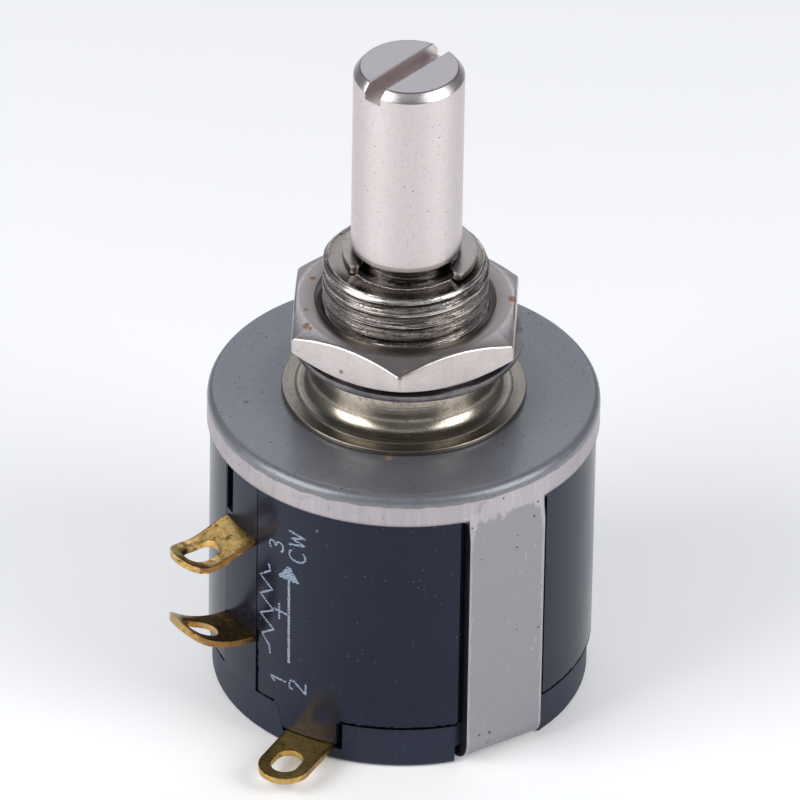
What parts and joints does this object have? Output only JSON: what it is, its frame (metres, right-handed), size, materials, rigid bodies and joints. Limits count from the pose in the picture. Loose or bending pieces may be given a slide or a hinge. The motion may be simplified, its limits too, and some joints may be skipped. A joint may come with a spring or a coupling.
{
  "type": "rotary potentiometer",
  "caption": "Multi-turn wirewound rotary potentiometer: moulded round body with metal lid and straps, threaded bushing with nut and washer, slotted shaft and solder tabs.",
  "frame": {"origin": "centre of the rear face, on the shaft's axis", "axes": "+Z along the shaft, from the rear cover to the shaft's end; -Y towards the front, where the picture was taken from"},
  "size_m": [0.0245, 0.0253, 0.041],
  "materials": {
    "black_moulding": "glossy blue-black moulding",
    "cover_moulding": "semi-gloss black moulding",
    "block_moulding": "glossy black moulding",
    "lid_metal": "blue-grey finish on pressed metal, bare at the rim and the straps",
    "bushing_metal": "turned and nickel plated",
    "shaft_metal": "satin steel",
    "ring_metal": "spring steel, tarnished",
    "nut_metal": "nickel plated with small rust spots",
    "washer_metal": "bluish plated steel",
    "terminal_metal": "gold flashed brass with patina",
    "contact_metal": "plated spring brass",
    "element_wire": "wire wound core",
    "rotor_moulding": "matt brown moulding"
  },
  "bodies": {
    "body": {"housing_shell": "black_moulding", "front_lid": "lid_metal", "bushing": "bushing_metal", "rear_cover": "cover_moulding", "terminal_block": "block_moulding", "terminal_1": "terminal_metal", "terminal_2": "terminal_metal", "terminal_3": "terminal_metal", "resistance_element": "element_wire", "front_lead": "contact_metal", "rear_lead": "contact_metal", "collector_brush": "contact_metal", "thrust_washer": "washer_metal"},
    "spindle": {"shaft": "shaft_metal", "retaining_ring": "ring_metal", "rotor": "rotor_moulding", "slip_ring": "contact_metal", "contact_rail": "contact_metal"},
    "slider": {"carriage": "rotor_moulding", "wiper_spring": "contact_metal", "wiper_tip": "contact_metal"},
    "washer": {"lock_washer": "washer_metal"},
    "nut": {"hex_nut": "nut_metal"}
  },
  "joints": [
    {"name": "shaft_turn", "type": "hinge", "parent": "body", "child": "spindle", "pos_m": [0, 0, 0.03], "axis": [0, 0, 1], "range_deg": [-1800, 1800]},
    {"name": "wiper_travel", "type": "slide", "parent": "spindle", "child": "slider", "axis": [0, 0, 1], "range_m": [-0.0051, 0.0051]},
    {"name": "washer_rise", "type": "slide", "parent": "body", "child": "washer", "axis": [0, 0, 1], "range_m": [0, 0.00238]},
    {"name": "nut_turn", "type": "hinge", "parent": "washer", "child": "nut", "pos_m": [0, 0, 0.024], "axis": [0, 0, 1], "range_deg": [0, 1080]}
  ],
  "couplings": [
    {"joint": "shaft_turn", "follows": "wiper_travel", "rad_per_m": -6160},
    {"joint": "nut_turn", "follows": "washer_rise", "rad_per_m": 7915.8}
  ]
}
